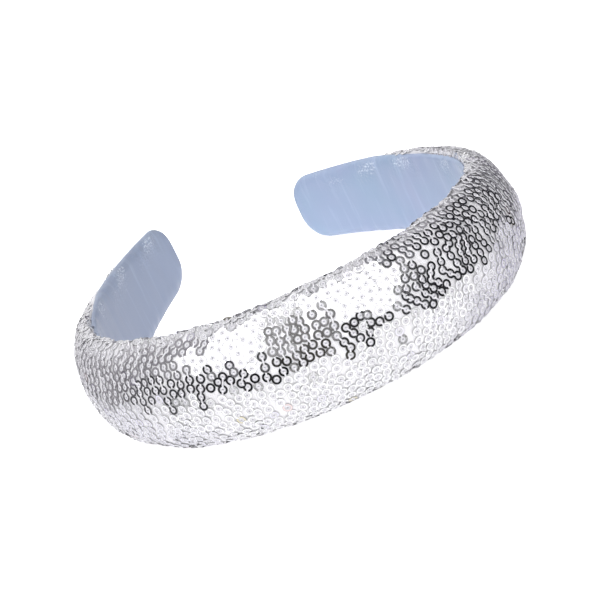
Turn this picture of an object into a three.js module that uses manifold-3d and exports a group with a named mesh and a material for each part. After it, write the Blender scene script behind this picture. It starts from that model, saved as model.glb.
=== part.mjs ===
// Padded sequin headband, lying on one of its long edges.
//
// Millimetres, +Z up. The crown of the hoop points to -Y and its open ends to +Y. The origin is on the
// ground, under the middle of the headband's box.
//
// The hoop is drawn level first and then set down. A section stands across the hoop: `out` runs outwards
// from the face of the lining, and `up` runs along the band's width from the middle of the band.

import * as THREE from "three";
import { mergeVertices } from "three/addons/utils/BufferGeometryUtils.js";
import Module from "manifold-3d";

// Driving dimensions

// The face of the lining runs from the middle of the crown to each end through three arcs, each of which
// carries on from the one before.
const CROWN_ARC = { radius: 90, sweepDeg: 5.9 };
const SIDE_ARC = { radius: 59, sweepDeg: 99.3 };

// The two tails aren't quite alike, as on any hoop that has been worn: `lift` is how far an end stands
// above the middle plane of the crown, and `twistDeg` is how far its upper edge leans outwards. A taper of 1
// would be a straight one, here and below.
const LEFT_TAIL = { direction: -1, radius: 180.1, sweepDeg: 24.55, lift: 6.2, twistDeg: 1.1 };
const RIGHT_TAIL = { direction: 1, radius: 134.3, sweepDeg: 33.6, lift: -0.4, twistDeg: -1 };
const TAIL_TAPER = 2;

// The band is widest and thickest at the crown.
const CROWN = { halfWidth: 18.85, thickness: 15.6 };
const END = { halfWidth: 11.35, thickness: 4 };
const TAPER = { halfWidth: 1.8, thickness: 1.54 };

// Seen from inside, an end has rounded corners, and its padding thins to an edge over the last few
// millimetres, down to a share of its thickness.
const END_CORNER_RADIUS = 8.8;
const END_THINNING = 2.4;
const END_EDGE_SHARE = 0.32;

// The padding bulges outwards as a superellipse. At both long edges it rolls over onto the inner face,
// which is flat under the lining.
const DOME = { widthPower: 1.84, thicknessPower: 2.12 };
const ROLL_SHARE = 0.15;
const ROLL_MIN_WIDTH = 0.8;

// Satin lining, glued to the inner face with its edges just inside the roll
const LINING = { halfWidth: 14.7, thickness: 1, front: -0.3, edgeInset: 0.2, endInset: 1.2 };
const GLUE_GAP = 0.3;
const INNER_FACE = LINING.front + LINING.thickness + GLUE_GAP;

// The headband is set down on the edge of its crown and of its right tail. The padding is pressed flat
// there, and the left tail stands clear of the ground.
const REST = { pitchDeg: -2.5, rollDeg: -0.5, flattening: 0.7 };

// Fineness of the skins: steps along a tail, distances of the last stations from its end, and points
// across a section
const STATION_STEP = 5.5;
const END_STATIONS = [8.2, 6.2, 4.4, 2.9, 1.9, LINING.endInset, 0.6, 0.2, 0];
const DOME_STEPS = 18;
const ROLL_STEPS = 3;

// Colours from the photograph
const SEQUIN_COVER = { color: 0xd9d9de, roughness: 0.3, metalness: 0.6 };
const SATIN = { color: 0xa7b9da, roughness: 0.45, metalness: 0 };

// Hoop

const arcLength = (arc) => arc.radius * THREE.MathUtils.degToRad(arc.sweepDeg);
const arcsOf = (tail) => [CROWN_ARC, SIDE_ARC, tail];
const lengthOf = (tail) => arcsOf(tail).reduce((sum, arc) => sum + arcLength(arc), 0);

// Point of the lining's face at a distance from the middle of the crown, and the hoop's heading there
function hoopPoint(tail, along) {
  let x = 0;
  let y = 0;
  let heading = 0;
  let left = along;
  for (const arc of arcsOf(tail)) {
    const run = Math.min(left, arcLength(arc));
    const turned = heading + run / arc.radius;
    x += arc.radius * (Math.sin(turned) - Math.sin(heading));
    y += arc.radius * (Math.cos(heading) - Math.cos(turned));
    heading = turned;
    left -= run;
  }
  return { x: tail.direction * x, y, heading };
}

// Distances from the middle of the crown at which one tail has a section
function stationsOf(tail) {
  const length = lengthOf(tail);
  const plainLength = length - END_CORNER_RADIUS;
  const steps = Math.round(plainLength / STATION_STEP);
  const plain = Array.from({ length: steps + 1 }, (_, i) => (plainLength * i) / steps);
  return [...plain, ...END_STATIONS.map((distance) => length - distance)];
}

// Sizes of the band at a distance from the middle of the crown
function bandSizes(tail, along) {
  const length = lengthOf(tail);
  const share = along / length;
  const intoCorner = Math.max(END_CORNER_RADIUS - (length - along), 0);
  const cutCorner = END_CORNER_RADIUS - Math.sqrt(END_CORNER_RADIUS ** 2 - intoCorner ** 2);
  const intoEdge = Math.max(1 - (length - along) / END_THINNING, 0);
  const thinning = Math.sqrt(1 - (1 - END_EDGE_SHARE ** 2) * intoEdge ** 2);
  const fullHalfWidth = THREE.MathUtils.lerp(CROWN.halfWidth, END.halfWidth, share ** TAPER.halfWidth);
  const halfWidth = fullHalfWidth - cutCorner;
  const thickness = THREE.MathUtils.lerp(CROWN.thickness, END.thickness, share ** TAPER.thickness);
  return {
    halfWidth,
    bulge: (thickness - INNER_FACE) * thinning,
    flatHalfWidth: Math.min(LINING.halfWidth, halfWidth - ROLL_MIN_WIDTH),
    lift: tail.lift * share ** TAIL_TAPER,
    twist: THREE.MathUtils.degToRad(tail.twistDeg) * share ** TAIL_TAPER,
  };
}

// Sections

// Point on a quarter of a superellipse, which runs from across = 1 at no turn to out = 1 at a right angle
function superellipse(turn, acrossPower, outPower) {
  return { across: Math.cos(turn) ** (2 / acrossPower), out: Math.sin(turn) ** (2 / outPower) };
}

// Upper half of the padding's section, from the edge of the flat inner face to the top of the dome
function upperPaddingHalf({ halfWidth, bulge, flatHalfWidth }) {
  const points = [];
  const rollOut = ROLL_SHARE * bulge;
  for (let i = 0; i < ROLL_STEPS; i += 1) {
    const turn = ((Math.PI / 2) * i) / ROLL_STEPS;
    const up = flatHalfWidth + (halfWidth - flatHalfWidth) * Math.sin(turn);
    points.push({ out: INNER_FACE + rollOut * (1 - Math.cos(turn)), up });
  }
  for (let i = 0; i < DOME_STEPS / 2; i += 1) {
    const turn = (Math.PI * i) / DOME_STEPS;
    const arc = superellipse(turn, DOME.widthPower, DOME.thicknessPower);
    points.push({ out: INNER_FACE + rollOut + (bulge - rollOut) * arc.out, up: halfWidth * arc.across });
  }
  return points;
}

// Closed section of the padding, from the upper edge of the flat over the dome to the lower edge
function paddingSection(sizes) {
  const upper = upperPaddingHalf(sizes);
  const lower = upper.map(({ out, up }) => ({ out, up: -up })).reverse();
  return [...upper, { out: INNER_FACE + sizes.bulge, up: 0 }, ...lower];
}

// Closed section of the lining: a strip that fills the flat inner face
function liningSection({ flatHalfWidth }) {
  const halfWidth = flatHalfWidth - LINING.edgeInset;
  const back = LINING.front + LINING.thickness;
  return [
    { out: LINING.front, up: halfWidth },
    { out: back, up: halfWidth },
    { out: back, up: -halfWidth },
    { out: LINING.front, up: -halfWidth },
  ];
}

// Section placed on the hoop
function placedRing(tail, along, section) {
  const sizes = bandSizes(tail, along);
  const { x, y, heading } = hoopPoint(tail, along);
  const cosine = Math.cos(sizes.twist);
  const sine = Math.sin(sizes.twist);
  return section(sizes).map(({ out, up }) => {
    const leaning = out * cosine + up * sine;
    return new THREE.Vector3(
      x + tail.direction * leaning * Math.sin(heading),
      y - leaning * Math.cos(heading),
      up * cosine - out * sine + sizes.lift,
    );
  });
}

// Rings from the left end over the crown to the right end, leaving out what is nearer an end than endInset
function ringsAlongHoop(section, endInset) {
  const ringsOf = (tail) => stationsOf(tail)
    .filter((along) => along <= lengthOf(tail) - endInset)
    .map((along) => placedRing(tail, along, section));
  const right = ringsOf(RIGHT_TAIL);
  const left = ringsOf(LEFT_TAIL).slice(1).reverse();
  return [...left, ...right];
}

// Closed skins

// Skin through rings of as many points each, with a fan on the first ring and on the last
function loft(rings) {
  const count = rings[0].length;
  const points = rings.flat();
  const triangles = [];
  for (let ring = 0; ring < rings.length - 1; ring += 1) {
    for (let i = 0; i < count; i += 1) {
      const here = ring * count + i;
      const beside = ring * count + ((i + 1) % count);
      triangles.push(here, beside, here + count, beside, beside + count, here + count);
    }
  }
  for (const [ring, isLast] of [[0, false], [rings.length - 1, true]]) {
    const middle = rings[ring].reduce((sum, point) => sum.add(point), new THREE.Vector3());
    points.push(middle.divideScalar(count));
    for (let i = 0; i < count; i += 1) {
      const here = ring * count + i;
      const beside = ring * count + ((i + 1) % count);
      triangles.push(...(isLast ? [here, beside] : [beside, here]), points.length - 1);
    }
  }
  const skin = new THREE.BufferGeometry().setFromPoints(points);
  skin.setIndex(triangles);
  return skin;
}

const wasm = await Module();
wasm.setup();

function toSolid(geometry) {
  const bare = geometry.clone();
  bare.deleteAttribute("normal");
  bare.deleteAttribute("uv");
  const merged = mergeVertices(bare);
  return new wasm.Manifold(new wasm.Mesh({
    numProp: 3,
    vertProperties: new Float32Array(merged.attributes.position.array),
    triVerts: new Uint32Array(merged.index.array),
  }));
}

function toGeometry(solid) {
  const { numProp, vertProperties, triVerts } = solid.getMesh();
  const geometry = new THREE.BufferGeometry();
  geometry.setAttribute("position", new THREE.BufferAttribute(vertProperties, numProp));
  geometry.setIndex(new THREE.BufferAttribute(triVerts, 1));
  return geometry;
}

// Setting down

const setDown = new THREE.Matrix4().makeRotationFromEuler(new THREE.Euler(
  THREE.MathUtils.degToRad(REST.pitchDeg),
  THREE.MathUtils.degToRad(REST.rollDeg),
  0,
  "YXZ",
));

const padding = loft(ringsAlongHoop(paddingSection, 0)).applyMatrix4(setDown);
const lining = loft(ringsAlongHoop(liningSection, LINING.endInset)).applyMatrix4(setDown);

padding.computeBoundingBox();
const { min, max } = padding.boundingBox;
const toOrigin = [-(min.x + max.x) / 2, -(min.y + max.y) / 2, -(min.z + REST.flattening)];
padding.translate(...toOrigin);
lining.translate(...toOrigin);

// What the ground presses flat is everything below it.
const size = new THREE.Vector3().subVectors(max, min).addScalar(REST.flattening);
const ground = new THREE.BoxGeometry(size.x * 2, size.y * 2, size.z).translate(0, 0, -size.z / 2);
const flattenedPadding = toGeometry(toSolid(padding).subtract(toSolid(ground)));

// Headband

function piece(name, geometry, finish) {
  geometry.computeVertexNormals();
  const mesh = new THREE.Mesh(geometry, new THREE.MeshStandardMaterial(finish));
  mesh.name = name;
  return mesh;
}

const headband = new THREE.Group();
headband.name = "sequin_headband";
headband.add(piece("padded_band", flattenedPadding, SEQUIN_COVER));
headband.add(piece("satin_lining", lining, SATIN));

export default headband;
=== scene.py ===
"""Sequin headband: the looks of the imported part.

Sizes are in millimetres and meshes in metres. The headband lies on one of its long edges with +Z up, its
crown towards -Y and its open ends towards +Y. `along` is a distance on the lining's face from the middle of
the crown, negative on the left tail. `across` is a share of the padded skin's half length over the section,
from 1 at the upper edge of the lining over 0 at the top of the dome to -1 at the lower edge.
"""

import logging
import math
from collections.abc import Mapping, Sequence
from dataclasses import dataclass, field
from enum import Enum
from functools import cached_property
from typing import Any, ClassVar

import bpy
import numpy as np
from mathutils import Matrix, Vector
from mathutils.kdtree import KDTree


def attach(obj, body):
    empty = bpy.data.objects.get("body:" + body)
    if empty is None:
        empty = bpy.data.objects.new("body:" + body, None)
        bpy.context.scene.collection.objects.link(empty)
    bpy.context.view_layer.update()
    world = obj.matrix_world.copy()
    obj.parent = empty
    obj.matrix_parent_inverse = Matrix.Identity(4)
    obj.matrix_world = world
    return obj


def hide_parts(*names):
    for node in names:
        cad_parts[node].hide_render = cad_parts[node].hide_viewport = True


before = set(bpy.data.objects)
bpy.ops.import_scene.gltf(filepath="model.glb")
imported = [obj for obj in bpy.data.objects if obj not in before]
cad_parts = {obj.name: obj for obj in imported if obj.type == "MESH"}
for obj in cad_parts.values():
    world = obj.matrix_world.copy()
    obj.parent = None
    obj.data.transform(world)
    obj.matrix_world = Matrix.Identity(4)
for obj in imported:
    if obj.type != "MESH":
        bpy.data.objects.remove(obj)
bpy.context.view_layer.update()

log = logging.getLogger("sequin_headband")

Array = np.ndarray

MM = 0.001  # metres in a millimetre
BODY = "root"


def linear(hex_colour: str) -> tuple[float, float, float, float]:
    """Turn an sRGB colour into a linear one, by the curve of the sRGB standard.

    Args:
        hex_colour: the colour as "#RRGGBB".

    Returns:
        Red, green, blue and an alpha of 1.
    """
    shares = [int(hex_colour[i:i + 2], 16) / 255 for i in (1, 3, 5)]
    red, green, blue = (s / 12.92 if s <= 0.04045 else ((s + 0.055) / 1.055) ** 2.4 for s in shares)
    return red, green, blue, 1.0


def add_node(
    tree: bpy.types.NodeTree, kind: str, inputs: Mapping[str | int, Any] | None = None, **settings: Any
) -> bpy.types.Node:
    """Add a node with its settings and links.

    Args:
        tree: the node tree that the node joins.
        kind: the node's type, without the "ShaderNode" in front.
        inputs: for a socket's name or place, its value or the output socket that feeds it.
        settings: values of the node's own properties.

    Returns:
        The new node.
    """
    node = tree.nodes.new("ShaderNode" + kind)
    for name, value in settings.items():
        setattr(node, name, value)
    for socket, value in (inputs or {}).items():
        if isinstance(value, bpy.types.NodeSocket):
            tree.links.new(value, node.inputs[socket])
        else:
            node.inputs[socket].default_value = value
    return node


def add_mesh(
    name: str, points: Array, faces: Sequence[Array], smooth: bool, lowest: float = 0.0
) -> bpy.types.Object:
    """Make an object from arrays of points and faces.

    Args:
        name: the piece's name.
        points: one row of x, y, z a point, in millimetres.
        faces: arrays of point numbers, one row a face, each array with its own number of corners.
        smooth: whether the faces are shaded as one curved surface.
        lowest: the height that points under it are raised to, because the ground presses them flat.

    Returns:
        The new object, in the scene.
    """
    points = np.maximum(points, (-math.inf, -math.inf, lowest))
    corners = np.concatenate([part.ravel() for part in faces])
    sizes = np.concatenate([np.full(len(part), part.shape[1]) for part in faces])
    starts = np.concatenate([[0], np.cumsum(sizes)[:-1]])
    mesh = bpy.data.meshes.new(name)
    mesh.vertices.add(len(points))
    mesh.vertices.foreach_set("co", (points * MM).astype(np.float32).ravel())
    mesh.loops.add(len(corners))
    mesh.loops.foreach_set("vertex_index", corners.astype(np.int32))
    mesh.polygons.add(len(sizes))
    mesh.polygons.foreach_set("loop_start", starts.astype(np.int32))
    mesh.polygons.foreach_set("use_smooth", np.full(len(sizes), smooth))
    mesh.update(calc_edges=True)
    mesh.validate()
    piece = bpy.data.objects.new(name, mesh)
    bpy.context.scene.collection.objects.link(piece)
    return piece


def add_cloth_map(piece: bpy.types.Object, places: Array) -> None:
    """Give a piece a map of its cloth, so that threads follow it.

    Args:
        piece: the piece.
        places: for each point, its place on the flat cloth in millimetres.
    """
    layer = piece.data.uv_layers.new(name=Cloth.MAP)
    corners = np.empty(len(piece.data.loops), dtype=np.int32)
    piece.data.loops.foreach_get("vertex_index", corners)
    layer.uv.foreach_set("vector", places[corners].astype(np.float32).ravel())


def add_tint(piece: bpy.types.Object, tints: Array) -> None:
    """Give each point of a piece a colour of its own.

    Args:
        piece: the piece.
        tints: one linear colour a point.
    """
    layer = piece.data.color_attributes.new(Cloth.TINT, "FLOAT_COLOR", "POINT")
    layer.data.foreach_set("color", tints.astype(np.float32).ravel())


def unit(vectors: Array) -> Array:
    """Scale vectors to a length of one."""
    return vectors / np.linalg.norm(vectors, axis=-1, keepdims=True)


def smooth_step(low: float, high: float, values: Array) -> Array:
    """Rise smoothly from 0 at low to 1 at high."""
    share = np.clip((values - low) / (high - low), 0, 1)
    return share * share * (3 - 2 * share)


def length_over(out: Array, up: Array) -> Array:
    """Measure sections from their first points.

    Args:
        out: distances out, one row a section.
        up: distances up, one row a section.

    Returns:
        The length over the section to each point.
    """
    steps = np.hypot(np.diff(out, axis=1), np.diff(up, axis=1))
    return np.hstack([np.zeros((len(out), 1)), np.cumsum(steps, axis=1)])


def ring_faces(rings: int, points: int) -> Array:
    """Number the faces between closed rings.

    Args:
        rings: the number of rings.
        points: the number of points in each.

    Returns:
        One row of four point numbers a face.
    """
    here = np.arange((rings - 1) * points).reshape(rings - 1, points)
    beside = np.roll(here, -1, axis=1)
    return np.stack([here, beside, beside + points, here + points], axis=-1).reshape(-1, 4)


def add_tube(name: str, points: Array, lowest: float = 0.0) -> bpy.types.Object:
    """Make a closed tube through rings of points.

    Args:
        name: the piece's name.
        points: x, y, z of each ring's points, one row a ring, in millimetres.
        lowest: the height that points under it are raised to.

    Returns:
        The new object, in the scene.
    """
    rings, count = points.shape[:2]
    cap = np.arange(count)[None]
    faces = [ring_faces(rings, count)[:, ::-1], cap, cap[:, ::-1] + (rings - 1) * count]
    return add_mesh(name, points.reshape(-1, 3), faces, smooth=True, lowest=lowest)


def repeat_faces(faces: Array, points: int, copies: int) -> Array:
    """Number the faces of many copies of one small mesh.

    Args:
        faces: the faces of one copy.
        points: the number of points in one copy.
        copies: the number of copies.

    Returns:
        The faces of all copies.
    """
    return (np.arange(copies)[:, None, None] * points + faces).reshape(-1, faces.shape[1])


@dataclass(frozen=True)
class Unevenness:
    """Smooth random unevenness over an area, as a sum of plane waves."""

    seed: int
    amplitude: float
    wavelength: float
    waves: int = 9
    length_range: tuple[float, float] = (0.7, 1.5)

    def at(self, u: Array, v: Array) -> Array:
        """Work out the unevenness.

        Args:
            u: places in millimetres.
            v: places in millimetres, at a right angle to u.

        Returns:
            The unevenness at each place, with a spread of about the amplitude.
        """
        rng = np.random.default_rng(self.seed)
        total = np.zeros(np.broadcast(u, v).shape)
        for _ in range(self.waves):
            heading, phase = rng.uniform(0, 2 * math.pi, 2)
            turns = 2 * math.pi / (self.wavelength * rng.uniform(*self.length_range))
            total += np.sin(turns * (u * math.cos(heading) + v * math.sin(heading)) + phase)
        return self.amplitude * total / math.sqrt(self.waves / 2)


# Finishes


class Cloth:
    """Names that cloth meshes and their finishes share."""

    MAP: ClassVar[str] = "cloth"
    TINT: ClassVar[str] = "tint"
    PUCKER: ClassVar[str] = "pucker"


class Finish:
    """A surface as its maker would name it, with the octaves of the noises that draw its fine texture."""

    name: ClassVar[str]
    octaves: ClassVar[float] = 2.0

    def material(self) -> bpy.types.Material:
        """Make the material from the finish's shader.

        Returns:
            The new material.
        """
        material = bpy.data.materials.new(self.name)
        material.use_nodes = True
        tree = material.node_tree
        tree.nodes.clear()
        add_node(tree, "OutputMaterial", {"Surface": self.shader(tree).outputs[0]})
        return material

    def shader(self, tree: bpy.types.NodeTree) -> bpy.types.Node:
        """Add the finish's nodes to a tree and return the last."""
        raise NotImplementedError


@dataclass(frozen=True)
class MetallisedFilm(Finish):
    """Polyester film coated with aluminium, punched into flat sequins."""

    # A vacuum-coated film is a hard mirror: each sequin is as bright or as dark as what it faces. Punching
    # leaves the film a little dented, so that a reflection wavers inside one sequin.
    name: ClassVar[str] = "metallised_polyester_film"
    octaves: ClassVar[float] = 1.0
    silver: str = "#F6F6F8"
    roughness: float = 0.1
    dent_width: float = 1.2
    dent_depth: float = 0.014

    def shader(self, tree: bpy.types.NodeTree) -> bpy.types.Node:
        """Add the mirror with its tint and dents.

        Args:
            tree: the material's nodes.

        Returns:
            The shader.
        """
        tint = add_node(tree, "Attribute", attribute_name=Cloth.TINT)
        place = add_node(tree, "TexCoord")
        dents = add_node(
            tree, "TexNoise",
            {
                "Vector": place.outputs["Object"], "Scale": 1 / (self.dent_width * MM),
                "Detail": self.octaves,
            },
        )
        bump = add_node(tree, "Bump", {"Height": dents.outputs[0], "Distance": self.dent_depth * MM})
        return add_node(
            tree, "BsdfPrincipled",
            {
                "Base Color": tint.outputs["Color"], "Metallic": 1.0, "Roughness": self.roughness,
                "Normal": bump.outputs[0],
            },
        )


@dataclass(frozen=True)
class NylonNet(Finish):
    """Silver-coated nylon net, knitted and laid double over white wadding."""

    # Fine net over white wadding scatters light softly and stays a little grey between its threads. Its
    # thin silver coat turns it white where it faces a light and greyer where it faces the room.
    name: ClassVar[str] = "knitted_nylon_net"
    thread: str = "#EEEDF0"
    wadding: str = "#E0DFE3"
    coat: float = 0.42
    roughness: float = 0.46
    ior: float = 1.53
    sheen: float = 0.2
    mesh_width: float = 0.55
    mesh_unevenness: float = 0.25
    thread_edge: tuple[float, float] = (0.28, 0.08)
    thread_height: float = 0.06
    thread_relief: float = 0.7

    def shader(self, tree: bpy.types.NodeTree) -> bpy.types.Node:
        """Add the net's cells in colour and relief.

        Args:
            tree: the material's nodes.

        Returns:
            The shader.
        """
        place = add_node(tree, "UVMap", uv_map=Cloth.MAP)
        cells = add_node(
            tree, "TexVoronoi",
            {
                "Vector": place.outputs[0], "Scale": 1 / self.mesh_width,
                "Randomness": self.mesh_unevenness,
            },
            feature="DISTANCE_TO_EDGE", voronoi_dimensions="2D",
        )
        outer, inner = self.thread_edge
        threads = add_node(
            tree, "MapRange", {"Value": cells.outputs[0], "From Min": outer, "From Max": inner},
        )
        colour = add_node(
            tree, "Mix",
            {"Factor": threads.outputs[0], "A": linear(self.wadding), "B": linear(self.thread)},
            data_type="RGBA",
        )
        bump = add_node(
            tree, "Bump",
            {
                "Height": threads.outputs[0], "Distance": self.thread_height * MM,
                "Strength": self.thread_relief,
            },
        )
        return add_node(
            tree, "BsdfPrincipled",
            {
                "Base Color": colour.outputs["Result"], "Metallic": self.coat, "Roughness": self.roughness,
                "IOR": self.ior, "Sheen Weight": self.sheen, "Normal": bump.outputs[0],
            },
        )


@dataclass(frozen=True)
class SewingThread(Finish):
    """White polyester sewing thread, twisted with a silvered strand."""

    # The silvered strand gives white thread a soft gloss, so it brightens and dims with the sequins round
    # it. Its plies show as a fine mottle of light and shade.
    name: ClassVar[str] = "silvered_polyester_thread"
    colour: str = "#E4E3E7"
    shade: str = "#D3D2D7"
    strand: float = 0.3
    roughness: float = 0.4
    ior: float = 1.53
    sheen: float = 0.15
    ply_width: float = 0.16
    ply_height: float = 0.03

    def shader(self, tree: bpy.types.NodeTree) -> bpy.types.Node:
        """Add the thread's plies in colour and relief.

        Args:
            tree: the material's nodes.

        Returns:
            The shader.
        """
        place = add_node(tree, "TexCoord")
        plies = add_node(
            tree, "TexNoise",
            {
                "Vector": place.outputs["Object"], "Scale": 1 / (self.ply_width * MM),
                "Detail": self.octaves,
            },
        )
        colour = add_node(
            tree, "Mix",
            {"Factor": plies.outputs[0], "A": linear(self.shade), "B": linear(self.colour)},
            data_type="RGBA",
        )
        tint = add_node(tree, "Attribute", attribute_name=Cloth.TINT)
        tinted = add_node(
            tree, "Mix",
            {"Factor": 1.0, "A": colour.outputs["Result"], "B": tint.outputs["Color"]},
            data_type="RGBA", blend_type="MULTIPLY",
        )
        bump = add_node(tree, "Bump", {"Height": plies.outputs[0], "Distance": self.ply_height * MM})
        return add_node(
            tree, "BsdfPrincipled",
            {
                "Base Color": tinted.outputs["Result"], "Metallic": self.strand,
                "Roughness": self.roughness, "IOR": self.ior, "Sheen Weight": self.sheen,
                "Normal": bump.outputs[0],
            },
        )


@dataclass(frozen=True)
class PolyesterSatin(Finish):
    """Pale blue polyester satin, woven with its long floats across the band."""

    # Satin's long floats lie in one direction, so its gloss draws out across them into soft streaks, and
    # paler streaks are painted into its colour along the floats as painted highlights. The floats are about
    # 0.1 mm wide. They are drawn 2.4 mm wide here, or they wouldn't show. Where the cloth is pulled over an
    # edge it crinkles, and the crinkles get near-white flecks painted on as painted highlights. The left
    # tail is painted greyer as painted shade.
    name: ClassVar[str] = "woven_polyester_satin"
    blue: str = "#8B9FB9"
    mauve: str = "#919DBA"
    # The left tail is painted greyer: painted shade
    left_tail_shade: str = "#8A95AC"
    # Pale streaks along the floats: painted highlight
    streak_highlight: str = "#C8D9EA"
    # Near-white flecks on the crinkles: painted highlight
    fleck_highlight: str = "#F0F6F9"
    roughness: float = 0.38
    ior: float = 1.57
    anisotropy: float = 0.55
    sheen: float = 0.25
    float_width: float = 2.4
    float_length: float = 30.0
    float_height: float = 0.02
    float_octaves: float = 3.0
    cloud_width: float = 24.0
    crinkle_width: float = 1.1
    crinkle_height: float = 0.45
    fleck_width: float = 0.7
    cloud_range: tuple[float, float] = (0.35, 0.65)
    # Distances along the band over which the painted shade of the left tail comes in
    left_tail_shade_over: tuple[float, float] = (-20.0, -110.0)
    streak_range: tuple[float, float] = (0.55, 0.85)
    streak_share: float = 0.3
    fleck_range: tuple[float, float] = (0.46, 0.68)
    fleck_share: float = 0.55

    def shader(self, tree: bpy.types.NodeTree) -> bpy.types.Node:
        """Add the satin's clouds, its painted shade, its painted highlight streaks and flecks, and its
        crinkles.

        Args:
            tree: the material's nodes.

        Returns:
            The shader.
        """
        place = add_node(tree, "UVMap", uv_map=Cloth.MAP)
        along = add_node(tree, "SeparateXYZ", {0: place.outputs[0]})
        stretch = (1 / self.float_width, 1 / self.float_length, 1.0)
        drawn_out = add_node(tree, "Mapping", {"Vector": place.outputs[0], "Scale": stretch})
        floats = add_node(
            tree, "TexNoise", {"Vector": drawn_out.outputs[0], "Scale": 1.0, "Detail": self.float_octaves},
        )
        clouds, crinkles, specks = (
            add_node(
                tree, "TexNoise", {"Vector": place.outputs[0], "Scale": 1 / width, "Detail": self.octaves},
            )
            for width in (self.cloud_width, self.crinkle_width, self.fleck_width)
        )
        pucker = add_node(tree, "Attribute", attribute_name=Cloth.PUCKER)
        relief, lit = (
            add_node(tree, "Math", {0: noise.outputs[0], 1: pucker.outputs["Fac"]}, operation="MULTIPLY")
            for noise in (crinkles, specks)
        )
        # Colours mixed over the blue: mauve clouds, painted shade on the left tail, painted highlight
        # streaks and flecks
        shades = [
            (clouds.outputs[0], self.cloud_range, 1.0, self.mauve),
            (along.outputs["X"], self.left_tail_shade_over, 1.0, self.left_tail_shade),
            (floats.outputs[0], self.streak_range, self.streak_share, self.streak_highlight),
            (lit.outputs[0], self.fleck_range, self.fleck_share, self.fleck_highlight),
        ]
        colour = linear(self.blue)
        for value, (low, high), most, shade in shades:
            share = add_node(
                tree, "MapRange", {"Value": value, "From Min": low, "From Max": high, "To Max": most},
            )
            mixed = add_node(
                tree, "Mix",
                {"Factor": share.outputs[0], "A": colour, "B": linear(shade)},
                data_type="RGBA",
            )
            colour = mixed.outputs["Result"]
        coarse = add_node(tree, "Bump", {"Height": relief.outputs[0], "Distance": self.crinkle_height * MM})
        bump = add_node(
            tree, "Bump",
            {
                "Height": floats.outputs[0], "Distance": self.float_height * MM,
                "Normal": coarse.outputs[0],
            },
        )
        tangent = add_node(tree, "Tangent", direction_type="UV_MAP", uv_map=Cloth.MAP)
        return add_node(
            tree, "BsdfPrincipled",
            {
                "Base Color": colour, "Roughness": self.roughness, "IOR": self.ior,
                "Anisotropic": self.anisotropy, "Tangent": tangent.outputs[0], "Sheen Weight": self.sheen,
                "Normal": bump.outputs[0],
            },
        )


@dataclass(frozen=True)
class PaperSweep(Finish):
    """White paper under the headband, lit from below as well."""

    # Matt white paper on a light table stays white all over, with a trace of shadow where a thing touches
    # it. Its grain is finer than 0.1 mm. It is drawn 3 mm wide here, or it wouldn't show.
    name: ClassVar[str] = "white_paper"
    colour: str = "#F7F7F8"
    grain: str = "#F2F2F4"
    lamp: str = "#FFFFFF"
    roughness: float = 0.9
    specular: float = 0.2
    glow: float = 0.55
    grain_width: float = 3.0

    def shader(self, tree: bpy.types.NodeTree) -> bpy.types.Node:
        """Add the paper's faint grain and glow.

        Args:
            tree: the material's nodes.

        Returns:
            The shader.
        """
        place = add_node(tree, "TexCoord")
        grain = add_node(
            tree, "TexNoise",
            {
                "Vector": place.outputs["Object"], "Scale": 1 / (self.grain_width * MM),
                "Detail": self.octaves,
            },
        )
        colour = add_node(
            tree, "Mix",
            {"Factor": grain.outputs[0], "A": linear(self.grain), "B": linear(self.colour)},
            data_type="RGBA",
        )
        return add_node(
            tree, "BsdfPrincipled",
            {
                "Base Color": colour.outputs["Result"], "Roughness": self.roughness,
                "Specular IOR Level": self.specular, "Emission Color": linear(self.lamp),
                "Emission Strength": self.glow,
            },
        )


# Form of the band


class Side(Enum):
    """Which way a tail runs from the middle of the crown."""

    LEFT = -1
    RIGHT = 1


@dataclass(frozen=True)
class Arc:
    """One arc of the hoop."""

    radius: float
    sweep_deg: float

    @property
    def length(self) -> float:
        """Length along the arc."""
        return self.radius * math.radians(self.sweep_deg)


@dataclass(frozen=True)
class Tail:
    """Last arc of one side of the hoop, whose end stands above the crown's middle plane and leans out."""

    arc: Arc
    lift: float
    twist_deg: float


@dataclass(frozen=True)
class Stations:
    """Places along the hoop, with one entry of each array a place."""

    x: Array
    y: Array
    heading: Array
    side: Array
    share: Array
    to_end: Array
    lift: Array
    twist: Array


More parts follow.
